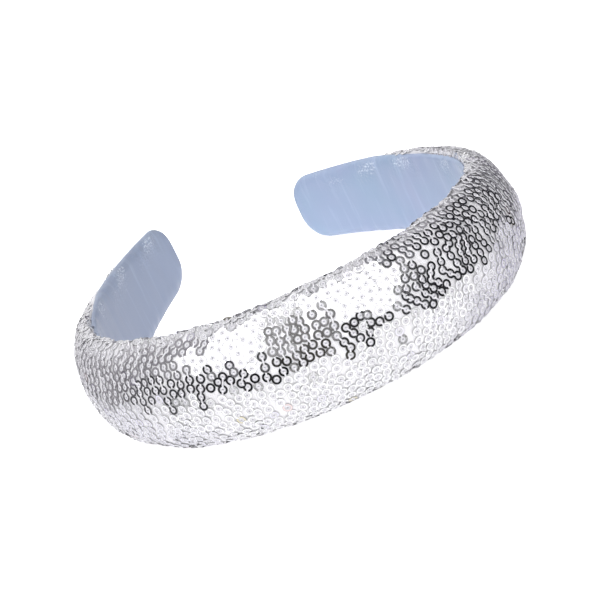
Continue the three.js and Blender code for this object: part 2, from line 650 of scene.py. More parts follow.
@dataclass(frozen=True)
class Hoop:
    """Line of the lining's face, from the middle of the crown to each end through three arcs."""

    crown: Arc = Arc(90, 5.9)
    flank: Arc = Arc(59, 99.3)
    left: Tail = Tail(Arc(180.1, 24.55), 6.2, 1.1)
    right: Tail = Tail(Arc(134.3, 33.6), -0.4, -1)
    tail_taper: float = 2

    def length(self, side: Side) -> float:
        """Length from the middle of the crown to one end."""
        tail = self.left if side is Side.LEFT else self.right
        return self.crown.length + self.flank.length + tail.arc.length

    def spread(self, step: float, end_inset: float = 0.0) -> Array:
        """Lay out places from the left end to the right one.

        Args:
            step: the distance between two places, nearly.
            end_inset: how far the first and last place keep from the ends.

        Returns:
            Distances from the middle of the crown.
        """
        first = end_inset - self.length(Side.LEFT)
        last = self.length(Side.RIGHT) - end_inset
        return np.linspace(first, last, round((last - first) / step) + 1)

    def stations(self, along: Array) -> Stations:
        """Find places on the hoop.

        Args:
            along: distances from the middle of the crown, negative on the left.

        Returns:
            The places.
        """
        on_left = along < 0
        tail_radius = np.where(on_left, self.left.arc.radius, self.right.arc.radius)
        tail_length = np.where(on_left, self.left.arc.length, self.right.arc.length)
        legs = [
            (self.crown.radius, self.crown.length),
            (self.flank.radius, self.flank.length),
            (tail_radius, tail_length),
        ]
        x, y, heading = np.zeros((3, len(along)))
        rest = np.abs(along)
        for radius, length in legs:
            run = np.minimum(rest, length)
            turned = heading + run / radius
            x = x + radius * (np.sin(turned) - np.sin(heading))
            y = y + radius * (np.cos(heading) - np.cos(turned))
            heading = turned
            rest = rest - run
        side = np.where(on_left, Side.LEFT.value, Side.RIGHT.value)
        full = np.where(on_left, self.length(Side.LEFT), self.length(Side.RIGHT))
        share = np.abs(along) / full
        onset = share**self.tail_taper
        lift = np.where(on_left, self.left.lift, self.right.lift) * onset
        twist = np.radians(np.where(on_left, self.left.twist_deg, self.right.twist_deg)) * onset
        return Stations(side * x, y, heading, side, share, full - np.abs(along), lift, twist)


@dataclass(frozen=True)
class SectionSizes:
    """Sizes of the band at places along the hoop."""

    half_width: Array
    bulge: Array
    flat_half_width: Array


@dataclass(frozen=True)
class Padding:
    """Section of the stuffed band: a flat inner face, two rolled edges and a dome."""

    crown_half_width: float = 18.85
    crown_thickness: float = 15.6
    end_half_width: float = 11.35
    end_thickness: float = 4.0
    width_taper: float = 1.8
    thickness_taper: float = 1.54
    corner_radius: float = 8.8
    end_thinning: float = 2.4
    end_edge_share: float = 0.32
    dome_width_power: float = 1.84
    dome_thickness_power: float = 2.12
    roll_share: float = 0.15
    roll_min_width: float = 0.8
    flat_half_width: float = 14.7
    inner_face: float = 1.0

    def sizes(self, stations: Stations, inset: float = 0.0) -> SectionSizes:
        """Work out the band's sizes.

        Args:
            stations: places along the hoop.
            inset: how far the form lies under the outer one.

        Returns:
            The sizes at each place.
        """
        to_end = np.maximum(stations.to_end - inset, 0)
        into_corner = np.maximum(self.corner_radius - to_end, 0)
        cut_corner = self.corner_radius - np.sqrt(self.corner_radius**2 - into_corner**2)
        into_edge = np.maximum(1 - to_end / self.end_thinning, 0)
        thinning = np.sqrt(1 - (1 - self.end_edge_share**2) * into_edge**2)
        narrowing = (self.end_half_width - self.crown_half_width) * stations.share**self.width_taper
        flattening = (self.end_thickness - self.crown_thickness) * stations.share**self.thickness_taper
        half_width = self.crown_half_width + narrowing - cut_corner - inset
        bulge = (self.crown_thickness + flattening - self.inner_face - inset) * thinning
        flat = np.minimum(self.flat_half_width, half_width - self.roll_min_width)
        return SectionSizes(half_width, bulge, flat)

    def section(self, sizes: SectionSizes, roll_steps: int, dome_steps: int) -> tuple[Array, Array]:
        """Draw the skin's section from the upper edge of the flat face over the dome to the lower edge.

        Args:
            sizes: the band's sizes at each place.
            roll_steps: the number of points on a rolled edge.
            dome_steps: the number of points on half of the dome.

        Returns:
            Distances out from the lining's face and up from the middle, one row a place.
        """
        half, bulge, flat = (a[:, None] for a in (sizes.half_width, sizes.bulge, sizes.flat_half_width))
        roll = np.linspace(0, math.pi / 2, roll_steps, endpoint=False)
        dome = np.linspace(0, math.pi / 2, dome_steps, endpoint=False)
        roll_out = self.roll_share * bulge
        dome_out = (bulge - roll_out) * np.sin(dome) ** (2 / self.dome_thickness_power)
        upper_out = np.hstack([roll_out * (1 - np.cos(roll)), roll_out + dome_out]) + self.inner_face
        upper_up = np.hstack([
            flat + (half - flat) * np.sin(roll),
            half * np.cos(dome) ** (2 / self.dome_width_power),
        ])
        out = np.hstack([upper_out, bulge + self.inner_face, upper_out[:, ::-1]])
        up = np.hstack([upper_up, np.zeros_like(bulge), -upper_up[:, ::-1]])
        return out, up


@dataclass(frozen=True)
class Rest:
    """How the headband is set down on the edge of its crown and of its right tail."""

    pitch_deg: float = -2.5
    roll_deg: float = -0.5
    flattening: float = 0.7

    @property
    def turn(self) -> Array:
        """Rotation that sets the level hoop down.

        Returns:
            The rotation's matrix.
        """
        pitch = Matrix.Rotation(math.radians(self.pitch_deg), 3, "X")
        roll = Matrix.Rotation(math.radians(self.roll_deg), 3, "Y")
        return np.array(roll @ pitch)


@dataclass(frozen=True)
class Band:
    """The band's whole form, as it lies on the ground."""

    hoop: Hoop = Hoop()
    padding: Padding = Padding()
    rest: Rest = Rest()
    survey_step: float = 1.0
    survey_points: tuple[int, int] = (6, 30)

    def level(self, stations: Stations, out: Array, up: Array) -> Array:
        """Place section points on the hoop before it is set down.

        Args:
            stations: places along the hoop.
            out: distances out from the lining's face, one row a place.
            up: distances up from the middle of the band, one row a place.

        Returns:
            Points, turned as the headband lies.
        """
        heading, twist = stations.heading[:, None], stations.twist[:, None]
        leaning = out * np.cos(twist) + up * np.sin(twist)
        x = stations.x[:, None] + stations.side[:, None] * leaning * np.sin(heading)
        y = stations.y[:, None] - leaning * np.cos(heading)
        z = up * np.cos(twist) - out * np.sin(twist) + stations.lift[:, None]
        return np.stack(np.broadcast_arrays(x, y, z), axis=-1) @ self.rest.turn.T

    @cached_property
    def origin(self) -> Array:
        """Point of the turned headband that comes to lie on the origin.

        Returns:
            The point, in millimetres.
        """
        stations = self.hoop.stations(self.hoop.spread(self.survey_step))
        section = self.padding.section(self.padding.sizes(stations), *self.survey_points)
        skin = self.level(stations, *section)
        low, high = skin.min(axis=(0, 1)), skin.max(axis=(0, 1))
        middle = (low + high) / 2
        return np.array([middle[0], middle[1], low[2] + self.rest.flattening])

    def place(self, stations: Stations, out: Array, up: Array) -> Array:
        """Place section points where the headband lies, as level does."""
        return self.level(stations, out, up) - self.origin


@dataclass(frozen=True)
class SkinPatch:
    """Points on the skin with the directions along the band, across it and out of it."""

    points: Array
    along: Array
    across: Array
    normals: Array


@dataclass
class Skin:
    """Outer skin of the padding as an even grid, for laying things on it."""

    band: Band
    step: float = 1.0
    columns: int = 97
    roll_steps: int = 12
    dome_steps: int = 80
    nudge: float = 0.5
    lumps: Unevenness = Unevenness(seed=11, amplitude=0.11, wavelength=13.0)
    places: Array = field(init=False)
    half_length: Array = field(init=False)
    grid: Array = field(init=False)
    normals: Array = field(init=False)

    def __post_init__(self) -> None:
        """Sample the skin evenly over each section and swell it a little where the wadding is uneven."""
        hoop, padding = self.band.hoop, self.band.padding
        self.places = hoop.spread(self.step)
        stations = hoop.stations(self.places)
        section = padding.section(padding.sizes(stations), self.roll_steps, self.dome_steps)
        dense = self.band.place(stations, *section)
        run = np.cumsum(np.linalg.norm(np.diff(dense, axis=1), axis=-1), axis=1)
        run = np.hstack([np.zeros((len(run), 1)), run])
        self.half_length = run[:, -1] / 2
        shares = np.linspace(0, 1, self.columns)
        self.grid = np.stack([
            np.stack([np.interp(shares * r[-1], r, row[:, axis]) for axis in range(3)], axis=-1)
            for r, row in zip(run, dense)
        ])
        self.normals = self._normals()
        over = np.outer(self.half_length, 1 - 2 * shares)
        swell = self.lumps.at(np.broadcast_to(self.places[:, None], over.shape), over)
        self.grid = self.grid + self.normals * swell[..., None]
        self.normals = self._normals()

    def _normals(self) -> Array:
        """Directions out of the skin at the grid's points.

        Returns:
            One direction a point, with a length of one.
        """
        down_section = np.gradient(self.grid, axis=1)
        along_band = np.gradient(self.grid, axis=0)
        return unit(np.cross(down_section, along_band))

    def half_length_at(self, along: Array) -> Array:
        """Half the skin's length over the section."""
        return np.interp(along, self.places, self.half_length)

    def _sample(self, values: Array, along: Array, across: Array) -> Array:
        """Read a grid between its points.

        Args:
            values: the grid.
            along: distances from the middle of the crown.
            across: shares over the section, from 1 to -1.

        Returns:
            The value at each place.
        """
        row = np.interp(along, self.places, np.arange(len(self.places)))
        column = np.clip((1 - across) / 2, 0, 1) * (self.columns - 1)
        i = np.minimum(row.astype(int), len(self.places) - 2)
        j = np.minimum(column.astype(int), self.columns - 2)
        s, t = (row - i)[:, None], (column - j)[:, None]
        first = values[i, j] * (1 - t) + values[i, j + 1] * t
        second = values[i + 1, j] * (1 - t) + values[i + 1, j + 1] * t
        return first * (1 - s) + second * s

    def patch(self, along: Array, across: Array) -> SkinPatch:
        """Find points on the skin.

        Args:
            along: distances from the middle of the crown.
            across: shares over the section, from 1 to -1.

        Returns:
            The points. Their directions have the length that one millimetre or one share covers there.
        """
        nudge, share = self.nudge, self.nudge / self.half_length_at(along)
        before, after = (self._sample(self.grid, along + n, across) for n in (-nudge, nudge))
        below, above = (self._sample(self.grid, along, across + n) for n in (-share, share))
        return SkinPatch(
            points=self._sample(self.grid, along, across),
            along=(after - before) / (2 * nudge),
            across=(above - below) / (2 * share[:, None]),
            normals=unit(self._sample(self.normals, along, across)),
        )


# Pieces


@dataclass
class NetCover:
    """White net over the wadding, under the sequins, as one closed form with the skin's lumps."""

    skin: Skin
    finish: NylonNet = NylonNet()
    under_sequins: float = 0.3
    station_step: float = 1.4
    roll_steps: int = 5
    dome_steps: int = 20
    flat_steps: int = 10

    def build(self) -> bpy.types.Object:
        """Loft the cover and dress it.

        Returns:
            The piece.
        """
        hoop, padding = self.skin.band.hoop, self.skin.band.padding
        along = hoop.spread(self.station_step, self.under_sequins)
        stations = hoop.stations(along)
        sizes = padding.sizes(stations, self.under_sequins)
        out, up = padding.section(sizes, self.roll_steps, self.dome_steps)
        run = length_over(out, up)
        swell = self.skin.lumps.at(np.broadcast_to(along[:, None], run.shape), run[:, -1:] / 2 - run)
        way = unit(np.stack([np.gradient(out, axis=1), np.gradient(up, axis=1)], axis=-1))
        out, up = out - swell * way[..., 1], up + swell * way[..., 0]
        shares = np.linspace(-1, 1, self.flat_steps + 1)[1:-1]
        flat_up = sizes.flat_half_width[:, None] * shares
        flat_out = np.full_like(flat_up, padding.inner_face)
        out, up = np.hstack([out, flat_out]), np.hstack([up, flat_up])
        piece = add_tube("net_cover", self.skin.band.place(stations, out, up))
        run = length_over(out, up)
        wide = np.broadcast_to(along[:, None], run.shape)
        add_cloth_map(piece, np.stack([wide, run], axis=-1).reshape(-1, 2))
        self.dress(piece)
        return piece

    def dress(self, piece: bpy.types.Object) -> None:
        """Give the cover its material, hang it on the body and hide the padded band part that it replaces.

        Args:
            piece: the cover.
        """
        piece.data.materials.append(self.finish.material())
        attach(piece, BODY)
        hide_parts("padded_band")


class Zone(Enum):
    """Stretch of the band whose sequins are one piece, with the shares of the hoop that bound it."""

    LEFT = (-1.0, -0.36)
    CROWN = (-0.36, 0.36)
    RIGHT = (0.36, 1.0)


@dataclass(frozen=True)
class SequinLayout:
    """Where each sequin is sewn: its chain, its middle and the frame of its film."""

    chain: Array
    along: Array
    middles: Array
    frames: Array


@dataclass
class SequinChains:
    """Sequins sewn on in wavering chains across the band.

    A knot sits in each sequin's hole, and doubled thread lies flat from one to the next.
    """

    skin: Skin
    lining: "SatinLining"
    film: MetallisedFilm = MetallisedFilm()
    thread: SewingThread = SewingThread()
    seed: int = 7
    diameter: float = 3.0
    hole: float = 1.78
    film_thickness: float = 0.05
    film_depth: float = 0.1
    film_sides: int = 16
    # Grey border on each film: painted shade for the shadowed outlines where sequins overlap
    shaded_rim_width: float = 0.18
    rim_painted_shade: float = 0.56
    shade_range: tuple[float, float] = (0.9, 1.06)
    chain_pitch: float = 3.35
    sequin_pitch: float = 2.7
    pitch_spread: float = 0.22
    count_spread: float = 0.4
    crowding: float = 3.25
    crowding_spread: float = 0.45
    edge_margin: float = 0.6
    end_margin: float = 1.7
    drift: float = 1.3
    drift_wavelength: float = 18.0
    waver: float = 1.7
    waver_length: float = 13.0
    phase_step: float = 0.4
    jitter: float = 0.7
    widest_gap: float = 2.6
    search_step: float = 0.9
    search_rows: int = 61
    settle_rounds: int = 9
    settle_step: float = 0.16
    tilt_deg: float = 2.6
    shingle_deg: float = 1.8
    loose_share: float = 0.015
    loose_tilt_deg: float = 7.0
    knot_diameter: float = 1.7
    knot_hole: float = 0.26
    knot_top: float = 0.05
    knot_depth: float = 0.3
    crest_share: float = 0.55
    dip_share: float = 0.3
    mark_taper: float = 0.3
    knot_sides: int = 11
    # Grey inside each knot's hole: painted shade in the recess
    hole_painted_shade: str = "#B9B8BE"
    thread_width: float = 0.6
    thread_thickness: float = 0.1
    thread_sides: int = 5
    longest_stitch: float = 4.3
    lead_over: float = 0.85
    trail_over: float = 0.5

    # Shares of the sequins whose film has taken on a tint, with the tint
    TINTS: ClassVar[tuple[tuple[float, str], ...]] = (
        (0.003, "#DCD6C2"),
        (0.005, "#E8DADB"),
        (0.03, "#E6E4ED"),
    )

    # Course of a stitch: shares of the way from one hole to the next, each with how much of the clearance
    # over or under the first rim and the second one it keeps there
    STITCH: ClassVar[tuple[tuple[float, tuple[float, float]], ...]] = (
        (0.08, (0.0, 0.0)), (0.24, (0.8, 0.0)), (0.34, (1.0, 0.0)), (0.46, (1.0, 1.0)), (0.54, (1.0, 1.0)),
        (0.66, (0.0, 1.0)), (0.76, (0.0, 0.8)), (0.92, (0.0, 0.0)),
    )

    def rows(self, rng: np.random.Generator) -> tuple[Array, Array, Array]:
        """Lay sequins out in straight chains across the band.

        Args:
            rng: the source of chance.

        Returns:
            Each sequin's chain, its distance along the band and its share across it.
        """
        top = self.skin.patch(self.skin.places, np.zeros_like(self.skin.places)).points
        run = np.concatenate([[0], np.cumsum(np.linalg.norm(np.diff(top, axis=0), axis=1))])
        inside = np.arange(self.end_margin, run[-1] - self.end_margin, self.chain_pitch)
        chains, alongs, acrosses = [], [], []
        for number, along in enumerate(np.interp(inside, run, self.skin.places)):
            reach = self.skin.half_length_at(np.array([along]))[0]
            lower, upper = (
                side * (reach - self.edge_margin - self.lining.wrap(np.array([along]), side)[0])
                for side in (-1, 1)
            )
            spare = rng.uniform(-self.count_spread, self.count_spread)
            count = round((upper - lower) / self.sequin_pitch + spare) + 1
            spots = np.linspace(lower, upper, count)[::rng.choice((-1, 1))]
            chains.append(np.full(len(spots), number))
            alongs.append(np.full(len(spots), along))
            acrosses.append(spots / reach)
        return np.concatenate(chains), np.concatenate(alongs), np.concatenate(acrosses)

    def keep_on(self, along: Array, across: Array) -> tuple[Array, Array]:
        """Bring sequins back that have left the band.

        Args:
            along: distances along the band.
            across: shares across it.

        Returns:
            The distances and shares, clear of the ends and edges.
        """
        first, last = self.skin.places[[0, -1]]
        along = np.clip(along, first + self.end_margin, last - self.end_margin)
        reach = self.skin.half_length_at(along)
        lower, upper = (
            side * (1 - (self.edge_margin + self.lining.wrap(along, side)) / reach) for side in (-1, 1)
        )
        return along, np.clip(across, lower, upper)

    def settle(
        self, chain: Array, along: Array, across: Array, rng: np.random.Generator
    ) -> tuple[Array, Array]:
        """Move sequins until few lie on each other and each chain keeps its pitch.

        Args:
            chain: each sequin's chain.
            along: distances along the band.
            across: shares across it.
            rng: the source of chance.

        Returns:
            The new distances and shares.
        """
        points = self.skin.patch(along, across).points
        apart = np.linalg.norm(points[:, None] - points[None], axis=-1)
        near = np.argwhere(np.triu(apart < 2 * self.diameter, k=1))
        linked = (np.diff(near, axis=1)[:, 0] == 1) & (chain[near[:, 0]] == chain[near[:, 1]])
        a, b = near[:, 0], near[:, 1]
        pitch = rng.normal(self.sequin_pitch, self.pitch_spread, len(a))
        room = rng.normal(self.crowding, self.crowding_spread, len(a))
        for _ in range(self.settle_rounds):
            patch = self.skin.patch(along, across)
            gap = patch.points[b] - patch.points[a]
            length = np.maximum(np.linalg.norm(gap, axis=1), self.film_thickness)
            stretch = np.where(linked, length - pitch, np.minimum(length - room, 0))
            pull = gap * (self.settle_step * stretch / length)[:, None]
            move = np.zeros_like(patch.points)
            np.add.at(move, a, pull)
            np.add.at(move, b, -pull)
            along = along + np.sum(move * patch.along, axis=1) / np.sum(patch.along**2, axis=1)
            across = across + np.sum(move * patch.across, axis=1) / np.sum(patch.across**2, axis=1)
            along, across = self.keep_on(along, across)
        return along, across

    def fill(self, chain: Array, along: Array, across: Array) -> tuple[Array, Array, Array]:
        """Sew single sequins on where the chains leave the net bare.

        Args:
            chain: each sequin's chain.
            along: distances along the band.
            across: shares across it.

        Returns:
            The chains, distances and shares with those of the single sequins after them.
        """
        first, last = self.skin.places[[0, -1]]
        spots = np.meshgrid(np.arange(first, last, self.search_step), np.linspace(-1, 1, self.search_rows))
        spot_along, spot_across = self.keep_on(*(a.ravel() for a in spots))
        points = self.skin.patch(spot_along, spot_across).points
        sewn = KDTree(len(chain))
        for number, point in enumerate(self.skin.patch(along, across).points):
            sewn.insert(point, number)
        sewn.balance()
        gaps = np.array([sewn.find(point)[2] for point in points])
        chosen = []
        while gaps.max() > self.widest_gap:
            chosen.append(gaps.argmax())
            gaps = np.minimum(gaps, np.linalg.norm(points - points[chosen[-1]], axis=1))
        numbers = chain.max() + 1 + np.arange(len(chosen))
        return (
            np.concatenate([chain, numbers]),
            np.concatenate([along, spot_along[chosen]]),
            np.concatenate([across, spot_across[chosen]]),
        )

    def lay_out(self) -> SequinLayout:
        """Sew the sequins on: chains that drift and waver, each sequin tipped on the one before it.

        Returns:
            Where each sequin is.
        """
        rng = np.random.default_rng(self.seed)
        chain, along, across = self.rows(rng)
        reach = self.skin.half_length_at(along)
        over = across * reach
        drift_along = Unevenness(self.seed + 1, self.drift, self.drift_wavelength).at(along, over)
        drift_over = Unevenness(self.seed + 2, self.drift, self.drift_wavelength).at(along, over)
        phases = np.cumsum(rng.normal(0, self.phase_step, chain.max() + 1))[chain]
        waver = self.waver * np.sin(2 * math.pi * over / self.waver_length + phases)
        chance = rng.normal(0, self.jitter, (2, len(chain)))
        along = along + drift_along + waver + chance[0]
        across = across + (drift_over + chance[1]) / reach
        along, across = self.settle(chain, *self.keep_on(along, across), rng)
        chain, along, across = self.fill(chain, along, across)
        along, across = self.settle(chain, along, across, rng)

        patch = self.skin.patch(along, across)
        over = across * self.skin.half_length_at(along)
        count = len(chain)
        loose = rng.random(count) < self.loose_share
        spread = np.radians(np.where(loose, self.loose_tilt_deg, self.tilt_deg))
        lean = rng.normal(0, 1, (2, count)) * spread
        lean[0] += math.radians(self.shingle_deg)
        next_over = np.diff(over, append=over[-1])
        last_of_chain = np.diff(chain, append=chain[-1] + 1) != 0
        next_over[last_of_chain] = np.roll(next_over, 1)[last_of_chain]
        over_way = unit(patch.across) * np.sign(next_over)[:, None]
        along_way = unit(patch.along)
        normals = unit(patch.normals + over_way * lean[0][:, None] + along_way * lean[1][:, None])
        first = unit(over_way - normals * np.sum(over_way * normals, axis=1)[:, None])
        frames = np.stack([first, np.cross(normals, first), normals], axis=-1)
        dip = self.diameter / 2 * np.hypot(*lean)
        sunk = np.minimum(self.film_depth, NetCover.under_sequins - self.film_thickness - dip)
        middles = patch.points - patch.normals * sunk[:, None]
        return SequinLayout(chain, along, middles, frames)

    def set_rings(self, layout: SequinLayout, corners: Array, sides: int) -> tuple[Array, Array]:
        """Turn a closed profile into a ring and set one in each sequin's place.

        Args:
            layout: where the sequins are.
            corners: radius and height of each corner, going round so that the faces point out.
            sides: the number of steps round the ring.

        Returns:
            Points and faces of all the rings.
        """
        angles = np.arange(sides) * 2 * math.pi / sides
        radii, heights = corners.T
        ring = np.stack([
            np.outer(np.cos(angles), radii),
            np.outer(np.sin(angles), radii),
            np.broadcast_to(heights, (sides, len(corners))),
        ], axis=-1).reshape(-1, 3)
        faces = ring_faces(sides + 1, len(corners)) % len(ring)
        points = layout.middles[:, None] + np.einsum("nij,pj->npi", layout.frames, ring)
        return points.reshape(-1, 3), repeat_faces(faces, len(ring), len(layout.middles))

    def film_profile(self) -> tuple[Array, Array]:
        """Draw a sequin's film, with a grey border painted on as painted shade for the shadowed outlines
        between sequins.

        Returns:
            Radius and height of each corner, and the colour that its tint is multiplied by.
        """
        rim, hole, half = self.diameter / 2, self.hole / 2, self.film_thickness / 2
        corners = [(rim, half), (rim - self.shaded_rim_width, half), (hole, half), (hole, -half), (rim, -half)]
        bright, shaded_rim = (1.0, 1.0, 1.0, 1.0), (self.rim_painted_shade, self.rim_painted_shade, self.rim_painted_shade, 1.0)
        return np.array(corners), np.array([shaded_rim, bright, bright, bright, shaded_rim])

    def knot_profile(self) -> tuple[Array, Array]:
        """Draw the knot that fills a sequin's hole, with the needle's hole in its middle, painted grey
        inside as painted shade.

        Returns:
            Radius and height of each corner, and its tint, grey inside the hole as painted shade.
        """
        rim, mark = self.knot_diameter / 2, self.knot_hole / 2
        crest = self.crest_share * (rim + mark)
        corners = [
            (rim, 0.0), (crest, self.knot_top), (mark, self.dip_share * self.knot_top),
            (self.mark_taper * mark, -self.knot_depth),
        ]
        bright, shaded_hole = (1.0, 1.0, 1.0, 1.0), linear(self.hole_painted_shade)
        return np.array(corners), np.array([bright, bright, shaded_hole, shaded_hole])

    def stitches(self, layout: SequinLayout, rng: np.random.Generator) -> tuple[Array, Array, Array]:
        """Run thread from each sequin to the next in its chain, over or under their rims.

        Args:
            layout: where the sequins are.
            rng: the source of chance.

        Returns:
            Points, side faces and end faces of the stitches.
        """
        start = np.flatnonzero(np.diff(layout.chain) == 0)
        length = np.linalg.norm(layout.middles[start + 1] - layout.middles[start], axis=1)
        start = start[length < self.longest_stitch]
        begin, end = layout.middles[start], layout.middles[start + 1]
        clear = (self.film_thickness + self.thread_thickness) / 2
        chance = rng.random((2, len(start)))
        first_up, last_up = layout.frames[start, :, 2], layout.frames[start + 1, :, 2]
        ends = [
            (begin, first_up, np.where(chance[0] < self.lead_over, clear, -clear)),
            (end, last_up, np.where(chance[1] < self.trail_over, clear, -clear)),
        ]
        way = unit(end - begin)
        angles = np.arange(self.thread_sides) * 2 * math.pi / self.thread_sides
        rings = []
        for share, weights in self.STITCH:
            up = unit(first_up * (1 - share) + last_up * share)
            side = unit(np.cross(up, way))
            middle = begin * (1 - share) + end * share
            heights = [
                np.sum((place - middle) * rim_up, axis=1) + weight * height
                for (place, rim_up, height), weight in zip(ends, weights)
            ]
            raised = heights[0] if share < 0.5 else heights[1]
            both_over = (ends[0][2] > 0) & (ends[1][2] > 0) & (min(weights) > 0)
            raised = np.where(both_over, np.maximum(*heights), raised)
            middle = middle + up * raised[:, None]
            width = side[:, None] * (np.cos(angles) * self.thread_width / 2)[:, None]
            depth = up[:, None] * (np.sin(angles) * self.thread_thickness / 2)[:, None]
            rings.append(middle[:, None] + width + depth)
        points = np.stack(rings, axis=1)
        count = len(self.STITCH) * self.thread_sides
        sides = ring_faces(len(self.STITCH), self.thread_sides)[:, ::-1]
        first_end = np.arange(self.thread_sides)
        last_end = first_end[::-1] + count - self.thread_sides
        ends = np.stack([first_end, last_end])
        return (
            points.reshape(-1, 3),
            repeat_faces(sides, count, len(start)),
            repeat_faces(ends, count, len(start)),
        )

    def tints(self, count: int, rng: np.random.Generator) -> Array:
        """Draw the sequins' tints: silver, lighter or darker, and here and there another one.

        Args:
            count: the number of sequins.
            rng: the source of chance.

        Returns:
            One linear colour a sequin.
        """
        tints = np.tile(linear(self.film.silver), (count, 1))
        tints[:, :3] *= rng.uniform(*self.shade_range, (count, 1))
        draw = rng.random(count)
        for share, tint in self.TINTS:
            tints[(draw >= 0) & (draw < share)] = linear(tint)
            draw = draw - share
        return tints

    def dress(self, piece: bpy.types.Object, tints: Array, material: bpy.types.Material) -> None:
        """Give a piece its tints and its material, and say what it belongs to.

        Args:
            piece: the piece.
            tints: one linear colour a point.
            material: its material.
        """
        add_tint(piece, tints)
        piece.data.materials.append(material)
        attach(piece, BODY)

    def build(self) -> list[bpy.types.Object]:
        """Make the sequins and the stitches of each zone.

        Returns:
            The pieces.
        """
        layout = self.lay_out()
        rng = np.random.default_rng(self.seed + 3)
        film, thread = self.film.material(), self.thread.material()
        tints = self.tints(len(layout.chain), rng)
        film_corners, film_shades = self.film_profile()
        knot_corners, knot_shades = self.knot_profile()
        shares = layout.along / np.where(layout.along < 0, -self.skin.places[0], self.skin.places[-1])
        lowest = self.film_thickness / 2
        pieces = []
        for zone in Zone:
            first, last = zone.value
            inside = (shares >= first) & (shares < last + (zone is Zone.RIGHT))
            part = SequinLayout(
                layout.chain[inside], layout.along[inside], layout.middles[inside], layout.frames[inside],
            )
            name = zone.name.lower()
            films, faces = self.set_rings(part, film_corners, self.film_sides)
            sequins = add_mesh(f"sequins_{name}", films, [faces], smooth=False, lowest=lowest)
            film_tints_and_shade = np.repeat(tints[inside], len(films) // len(part.chain), axis=0)
            # Each film's border is darkened as painted shade
            film_tints_and_shade *= np.tile(film_shades, (len(films) // len(film_shades), 1))
            self.dress(sequins, film_tints_and_shade, film)

            knots, knot_faces = self.set_rings(part, knot_corners, self.knot_sides)
            runs, side_faces, end_faces = self.stitches(part, rng)
            faces = [knot_faces, side_faces + len(knots), end_faces + len(knots)]
            points = np.vstack([knots, runs])
            stitches = add_mesh(f"stitches_{name}", points, faces, smooth=True, lowest=lowest)
            # Knots are white, with painted shade inside their holes
            knot_painted_shade = np.tile(knot_shades, (len(knots) // len(knot_shades), 1))
            self.dress(stitches, np.vstack([knot_painted_shade, np.ones((len(runs), 4))]), thread)
            pieces += [sequins, stitches]
        log.info("%d sequins in %d chains", len(layout.chain), layout.chain.max() + 1)
        return pieces


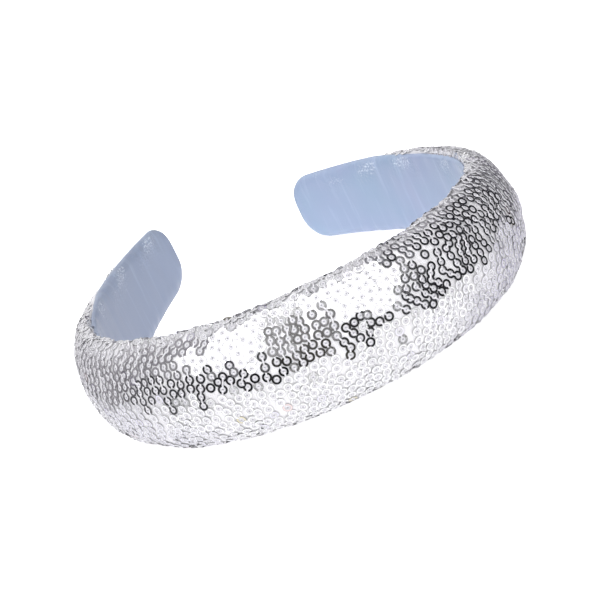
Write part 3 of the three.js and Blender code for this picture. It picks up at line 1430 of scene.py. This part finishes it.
@dataclass
class SatinLining:
    """Satin strip on the inner face, with its edges turned in and on the tails pulled over the padding."""

    band: Band
    finish: PolyesterSatin = PolyesterSatin()
    front: float = -0.3
    back: float = 0.7
    edge_inset: float = 0.2
    end_inset: float = 0.3
    turn_in: float = 0.9
    pulled_turn: float = 2.6
    widest_turn: float = 0.8
    proud: float = 0.18
    clear_edge: float = 2.7
    clear_over: tuple[float, float] = (0.6, 0.9)
    fold: float = 0.35
    end_turn: float = 2.0
    end_drop: float = 1.5
    station_step: float = 0.9
    end_steps: int = 7
    flat_columns: int = 25
    turn_columns: int = 8
    pucker: Unevenness = Unevenness(seed=21, amplitude=0.16, wavelength=4.0)
    pucker_reach: float = 3.5
    puckered_over: tuple[float, float] = (0.35, 0.85)
    crease: Unevenness = Unevenness(seed=22, amplitude=0.06, wavelength=9.0)
    crease_stretch: float = 0.3
    clusters: Unevenness = Unevenness(seed=23, amplitude=0.5, wavelength=14.0)
    cluster_level: float = 0.65
    fleck_depth: float = 8.0
    fleck_power: int = 4
    flecked_over: tuple[float, float] = (0.25, 0.5)

    # Shares of the hoop between which each edge goes from turned in to pulled over the padding, and how far
    # it then reaches past the padding's own edge
    PULLED: ClassVar[dict[tuple[Side, int], tuple[float, float, float]]] = {
        (Side.LEFT, 1): (0.5, 0.7, 0.05),
        (Side.LEFT, -1): (0.32, 0.5, 0.1),
        (Side.RIGHT, 1): (0.62, 0.8, 0.05),
        (Side.RIGHT, -1): (0.32, 0.5, 0.1),
    }

    def pulled(self, along: Array, edge: int) -> Array:
        """Tell how far the strip is pulled over one edge.

        Args:
            along: distances along the band.
            edge: 1 for the upper edge and -1 for the lower one.

        Returns:
            Shares from 0 near the crown to 1 on the tails.
        """
        share = self.band.hoop.stations(along).share
        left, right = (smooth_step(*self.PULLED[side, edge][:2], share) for side in Side)
        return np.where(along < 0, left, right)

    def wrap(self, along: Array, edge: int) -> Array:
        """Work out how far the strip reaches over the padding's rolled edge.

        Args:
            along: distances along the band.
            edge: 1 for the upper edge and -1 for the lower one.

        Returns:
            Lengths over the skin from the edge of the flat inner face, with a bare strip beyond the satin.
        """
        padding = self.band.padding
        sizes = padding.sizes(self.band.hoop.stations(along))
        roll_up, roll_out = sizes.half_width - sizes.flat_half_width, padding.roll_share * sizes.bulge
        roll = math.pi / 2 * np.sqrt((roll_up**2 + roll_out**2) / 2)
        pulled = self.pulled(along, edge)
        bare = self.clear_edge * smooth_step(*self.clear_over, pulled)
        return roll * np.arcsin(pulled) / (math.pi / 2) + bare

    def places(self) -> Array:
        """Lay out places along the band, closer together at the ends.

        Returns:
            Distances from the middle of the crown.
        """
        hoop = self.band.hoop
        middle = hoop.spread(self.station_step, self.end_turn)
        shares = np.linspace(0, 1, self.end_steps)
        from_end = self.end_inset + (self.end_turn - self.end_inset) * shares**2
        left, right = from_end - hoop.length(Side.LEFT), hoop.length(Side.RIGHT) - from_end[::-1]
        return np.concatenate([left[:-1], middle, right[1:]])

    def half_section(self, along: Array, edge: int) -> tuple[Array, Array, Array]:
        """Draw one edge of the strip, from the flat over the turn to where it ends.

        Args:
            along: distances along the band.
            edge: 1 for the upper edge and -1 for the lower one.

        Returns:
            Distances up, and out for the front and for the back, one row a place.
        """
        padding = self.band.padding
        sizes = padding.sizes(self.band.hoop.stations(along))
        pulled = self.pulled(along, edge)
        flat = sizes.flat_half_width - self.edge_inset
        radius = self.turn_in + (self.pulled_turn - self.turn_in) * pulled
        radius = np.minimum(radius, self.widest_turn * flat)
        left_past, right_past = (self.PULLED[side, edge][2] for side in Side)
        past = np.where(along < 0, left_past, right_past)
        last_up = flat + pulled * (sizes.half_width + past - flat)
        roll_width = sizes.half_width - sizes.flat_half_width
        over_roll = np.clip((last_up - sizes.flat_half_width) / roll_width, 0, 1)
        tucked = 1 - np.sqrt(1 - over_roll**2)
        last_out = padding.inner_face + tucked * padding.roll_share * sizes.bulge
        start, last_up, last_out = (a[:, None] for a in (flat - radius, last_up, last_out))
        turn = np.linspace(0, math.pi / 2, self.turn_columns + 1)
        up = start + (last_up - start) * np.sin(turn)
        front = self.front + (last_out - self.front) * (1 - np.cos(turn))
        back = self.back + (last_out - self.back) * (1 - np.cos(turn))
        return edge * up, front, back

    def section(self, along: Array) -> tuple[Array, Array, Array]:
        """Draw the strip from its upper edge to its lower one.

        Args:
            along: distances along the band.

        Returns:
            Distances up, and out for the front and for the back, one row a place.
        """
        upper, lower = self.half_section(along, 1), self.half_section(along, -1)
        shares = np.linspace(0, 1, self.flat_columns + 2)[1:-1]
        flat_up = upper[0][:, :1] + (lower[0][:, :1] - upper[0][:, :1]) * shares
        flat = flat_up, np.full_like(flat_up, self.front), np.full_like(flat_up, self.back)
        up, front, back = (np.hstack([a[:, ::-1], b, c]) for a, b, c in zip(upper, flat, lower))
        return up, front, back

    def crinkled(self, stations: Stations, wide: Array, up: Array) -> Array:
        """Tell where the satin is crinkled, which is in clusters below its upper edge, and where painted
        highlight flecks go.

        Args:
            stations: places along the hoop.
            wide: distances along the band, one row a place.
            up: distances up from the middle of the band.

        Returns:
            Shares from 0 to 1.
        """
        clusters = np.clip(self.clusters.at(wide, up) + self.cluster_level, 0, 1)
        off_crown = smooth_step(*self.flecked_over, stations.share)[:, None]
        near_upper = np.exp(-(((up[:, :1] - up) / self.fleck_depth) ** self.fleck_power))
        return near_upper * off_crown * clusters

    def build(self) -> bpy.types.Object:
        """Lay the strip with its puckers and creases, and dress it.

        Returns:
            The piece.
        """
        along = self.places()
        stations = self.band.hoop.stations(along)
        up, out, back = self.section(along)
        wide = np.broadcast_to(along[:, None], up.shape)
        to_edge = np.minimum(up[:, :1] - up, up - up[:, -1:])
        held = smooth_step(0, self.turn_in, to_edge)
        on_tail = smooth_step(*self.puckered_over, stations.share)[:, None]
        near_edge = np.exp(-to_edge / self.pucker_reach) * on_tail
        pucker, crease = (wave.at(wide, self.crease_stretch * up) for wave in (self.pucker, self.crease))
        into_end = 1 - (stations.to_end - self.end_inset) / (self.end_turn - self.end_inset)
        drop = self.end_drop * (1 - np.sqrt(1 - np.clip(into_end, 0, 1) ** 2))[:, None]
        out = out + (pucker * near_edge + crease) * held + drop
        back = np.maximum(back, out + self.fold * held)
        back_up = up - np.sign(up) * self.fold * (1 - held)
        front_points = self.band.place(stations, out, up)
        back_points = self.band.place(stations, back, back_up)
        piece = add_tube("satin_strip", np.hstack([front_points, back_points[:, ::-1]]), self.proud)

        cloth = np.stack([wide, up], axis=-1)
        add_cloth_map(piece, np.hstack([cloth, cloth[:, ::-1]]).reshape(-1, 2))
        crinkled = self.crinkled(stations, wide, up) * held
        layer = piece.data.attributes.new(Cloth.PUCKER, "FLOAT", "POINT")
        values = np.hstack([crinkled, crinkled[:, ::-1]]).astype(np.float32)
        layer.data.foreach_set("value", values.ravel())
        self.dress(piece, along, length_over(out, up)[:, -1])
        return piece

    def dress(self, piece: bpy.types.Object, along: Array, cut: Array) -> None:
        """Give the strip its material, hang it on the body and hide the lining part that it replaces.

        Args:
            piece: the strip.
            along: distances along the band. Not used.
            cut: the width of the flat cloth at each. Not used.
        """
        piece.data.materials.append(self.finish.material())
        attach(piece, BODY)
        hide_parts("satin_lining")


# Studio


@dataclass(frozen=True)
class BoxEdge:
    """Straight edge of a light box as the headband sees it: a point on it and the way that faces in."""

    azimuth: float
    elevation: float
    faces_deg: float


@dataclass(frozen=True)
class LightBox:
    """Light box bounded by its edges, and how bright it is."""

    edges: tuple[BoxEdge, ...]
    glow: float


@dataclass(frozen=True)
class Camera:
    """Viewpoint of the photograph."""

    place: tuple[float, float, float] = (-68.56, -691.49, 259.9)
    aim: tuple[float, float, float] = (-0.47, -2.68, 10.48)
    roll_deg: float = 23.849
    lens: float = 139.62
    film_width: float = 36.0

    def build(self) -> bpy.types.Object:
        """Set the camera up and make it the scene's.

        Returns:
            The camera.
        """
        place, aim = Vector(self.place) * MM, Vector(self.aim) * MM
        ahead = (aim - place).normalized()
        level = ahead.cross(Vector((0, 0, 1))).normalized()
        upright = level.cross(ahead)
        roll = math.radians(self.roll_deg)
        right = math.cos(roll) * level - math.sin(roll) * upright
        up = math.sin(roll) * level + math.cos(roll) * upright
        data = bpy.data.cameras.new("camera")
        data.lens = self.lens
        data.sensor_width = self.film_width
        camera = bpy.data.objects.new("camera", data)
        turn = Matrix((right, up, -ahead)).transposed().to_4x4()
        camera.matrix_world = Matrix.Translation(place) @ turn
        bpy.context.scene.collection.objects.link(camera)
        bpy.context.scene.camera = camera
        return camera


@dataclass
class Studio:
    """White paper, two light boxes in front and a dim room behind them.

    Directions are in degrees. Azimuth 0 is towards -Y and 90 towards +X.
    """

    paper: PaperSweep = PaperSweep()
    camera: Camera = Camera()
    floor_width: float = 9000.0
    softness_deg: float = 3.0
    room_glow: float = 1.0
    table_glow: float = 1.3
    ceiling_glow: float = 1.4
    boxes: tuple[LightBox, ...] = (
        LightBox(
            edges=(
                BoxEdge(-57.5, 18, 42), BoxEdge(-32, 40, 180), BoxEdge(-35, 56, 225), BoxEdge(-45, 14, 90),
            ),
            glow=2.9,
        ),
        LightBox(edges=(BoxEdge(1, 40, 0), BoxEdge(25, 3, 50), BoxEdge(27, 3, 146)), glow=2.9),
    )
    nadir_deg: tuple[float, float] = (-65.0, -48.0)
    table_edge_deg: tuple[float, float] = (-19.0, -14.0)
    wall_edge_deg: tuple[float, float] = (6.0, 16.0)
    ceiling_deg: tuple[float, float] = (54.0, 72.0)
    zenith_deg: tuple[float, float] = (74.0, 84.0)
    zenith_glow: float = 2.0
    nadir: str = "#FBFBFC"
    backdrop: str = "#FFFFFF"

    # Colours of the paper, the room's foot, its walls and its ceiling as a mirror on the band sees them all
    # round, at azimuths from -180 to 180
    TABLE: ClassVar[tuple[tuple[float, str], ...]] = (
        (-180, "#FFFFFF"), (-150, "#E3E1EA"), (-120, "#EAE9F0"), (-80, "#FFFFFF"), (70, "#FFFFFF"),
        (105, "#D2D0DA"), (135, "#BAB8C5"), (155, "#D0CED8"), (180, "#FFFFFF"),
    )
    HORIZON: ClassVar[tuple[tuple[float, str], ...]] = (
        (-180, "#FFFFFF"), (-155, "#C8C6CC"), (-125, "#9B989D"), (-105, "#626164"), (-75, "#404043"),
        (-45, "#343437"), (-25, "#1E1E20"), (-8, "#4E4C48"), (15, "#3A3A3C"), (40, "#48484B"),
        (60, "#2E2E31"), (100, "#323236"), (125, "#414045"), (150, "#7F7C86"), (180, "#FFFFFF"),
    )
    WALLS: ClassVar[tuple[tuple[float, str], ...]] = (
        (-180, "#FBFBFC"), (-150, "#E2E1E5"), (-125, "#B4B1B6"), (-105, "#939196"), (-85, "#9C9A9D"),
        (-60, "#8C8C8F"), (-35, "#B4B4B5"), (-20, "#9A9999"), (-6, "#7E7D7C"), (10, "#929292"),
        (55, "#424245"), (80, "#303034"), (115, "#2E2E32"), (140, "#5A585E"), (160, "#C8C6CC"),
        (180, "#FBFBFC"),
    )
    CEILING: ClassVar[tuple[tuple[float, str], ...]] = (
        (-180, "#FFFFFF"), (-120, "#F2F2F3"), (-30, "#FFFFFF"), (50, "#FFFFFF"), (75, "#97979B"),
        (115, "#6E6E73"), (140, "#A5A4AA"), (165, "#FFFFFF"), (180, "#FFFFFF"),
    )

    def ring_of_colours(
        self, tree: bpy.types.NodeTree, turn: bpy.types.NodeSocket, stops: Sequence[tuple[float, str]],
        glow: float = 1.0,
    ) -> bpy.types.NodeSocket:
        """Add a run of colours round the horizon.

        Args:
            tree: the world's nodes.
            turn: the azimuth in degrees.
            stops: azimuths and colours, from -180 to 180.
            glow: how bright white is.

        Returns:
            The colour's socket.
        """
        share = add_node(tree, "MapRange", {"Value": turn, "From Min": -180.0, "From Max": 180.0})
        ramp = add_node(tree, "ValToRGB", {"Fac": share.outputs[0]})
        elements = ramp.color_ramp.elements
        while len(elements) < len(stops):
            elements.new(0.5)
        for element, (azimuth, colour) in zip(elements, stops):
            element.position = (azimuth + 180) / 360
            element.color = [glow * value for value in linear(colour)]
        return ramp.outputs["Color"]

    def box_light(
        self, tree: bpy.types.NodeTree, azimuth: bpy.types.NodeSocket, elevation: bpy.types.NodeSocket,
        box: LightBox,
    ) -> bpy.types.NodeSocket:
        """Add a light box, which is bright inside all of its edges.

        Args:
            tree: the world's nodes.
            azimuth: the azimuth in degrees.
            elevation: the elevation in degrees.
            box: the light box.

        Returns:
            The brightness's socket.
        """
        light = box.glow
        for edge in box.edges:
            facing = math.radians(edge.faces_deg)
            sideways, upwards = math.cos(facing), math.sin(facing)
            start = -edge.azimuth * sideways - edge.elevation * upwards
            across = add_node(tree, "Math", {0: azimuth, 1: sideways, 2: start}, operation="MULTIPLY_ADD")
            depth = add_node(
                tree, "Math", {0: elevation, 1: upwards, 2: across.outputs[0]}, operation="MULTIPLY_ADD",
            )
            inside = add_node(
                tree, "MapRange",
                {
                    "Value": depth.outputs[0], "From Min": -self.softness_deg / 2,
                    "From Max": self.softness_deg / 2,
                },
                interpolation_type="SMOOTHSTEP",
            )
            dimmed = add_node(tree, "Math", {0: light, 1: inside.outputs[0]}, operation="MULTIPLY")
            light = dimmed.outputs[0]
        return light

    def light_world(self) -> None:
        """Make the room's light: white paper below, dim walls, a pale ceiling and two light boxes."""
        world = bpy.data.worlds.new("studio")
        bpy.context.scene.world = world
        world.use_nodes = True
        tree = world.node_tree
        tree.nodes.clear()
        way = add_node(tree, "SeparateXYZ", {0: add_node(tree, "TexCoord").outputs["Generated"]})
        rise = add_node(tree, "Math", {0: way.outputs["Z"]}, operation="ARCSINE")
        elevation = add_node(tree, "Math", {0: rise.outputs[0]}, operation="DEGREES").outputs[0]
        ahead = add_node(tree, "Math", {0: way.outputs["Y"], 1: -1.0}, operation="MULTIPLY")
        swing = add_node(tree, "Math", {0: way.outputs["X"], 1: ahead.outputs[0]}, operation="ARCTAN2")
        azimuth = add_node(tree, "Math", {0: swing.outputs[0]}, operation="DEGREES").outputs[0]

        table = self.ring_of_colours(tree, azimuth, self.TABLE, self.table_glow)
        horizon = self.ring_of_colours(tree, azimuth, self.HORIZON)
        walls = self.ring_of_colours(tree, azimuth, self.WALLS)
        ceiling = self.ring_of_colours(tree, azimuth, self.CEILING, self.ceiling_glow)
        steps = [
            (self.nadir_deg, table), (self.table_edge_deg, horizon), (self.wall_edge_deg, walls),
            (self.ceiling_deg, ceiling), (self.zenith_deg, (self.zenith_glow,) * 3 + (1.0,)),
        ]
        light = [self.table_glow * value for value in linear(self.nadir)]
        for (low, high), colour in steps:
            share = add_node(
                tree, "MapRange", {"Value": elevation, "From Min": low, "From Max": high},
                interpolation_type="SMOOTHSTEP",
            )
            light = add_node(
                tree, "Mix", {"Factor": share.outputs[0], "A": light, "B": colour}, data_type="RGBA",
            ).outputs["Result"]
        for box in self.boxes:
            lamp = self.box_light(tree, azimuth, elevation, box)
            light = add_node(
                tree, "Mix", {"Factor": 1.0, "A": light, "B": lamp}, data_type="RGBA", blend_type="ADD",
            ).outputs["Result"]
        studio = add_node(tree, "Background", {"Color": light, "Strength": self.room_glow})
        backdrop = add_node(tree, "Background", {"Color": linear(self.backdrop)})
        path = add_node(tree, "LightPath")
        seen = add_node(
            tree, "MixShader",
            {0: path.outputs["Is Camera Ray"], 1: studio.outputs[0], 2: backdrop.outputs[0]},
        )
        add_node(tree, "OutputWorld", {"Surface": seen.outputs[0]})

    def build(self) -> bpy.types.Object:
        """Lay the paper, light the room and set the camera up.

        Returns:
            The paper.
        """
        half = self.floor_width / 2
        corners = np.array([(-half, -half, 0), (half, -half, 0), (half, half, 0), (-half, half, 0)])
        floor = add_mesh("paper_floor", corners, [np.arange(4)[None]], smooth=False)
        floor.data.materials.append(self.paper.material())
        floor.visible_glossy = False
        self.light_world()
        self.camera.build()
        bpy.context.scene.view_settings.view_transform = "Standard"
        return floor


def main() -> None:
    """Build the headband and its studio, and log the number of faces of each piece."""
    logging.basicConfig(level=logging.INFO, format="%(name)s: %(message)s")
    log.info("frame holds %d nodes", len(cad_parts))
    band = Band()
    skin = Skin(band)
    lining = SatinLining(band)
    pieces = [NetCover(skin).build(), *SequinChains(skin, lining).build(), lining.build()]
    for piece in pieces:
        log.info("%s: %d faces", piece.name, len(piece.data.polygons))
    Studio().build()


if __name__ == "__main__":
    main()
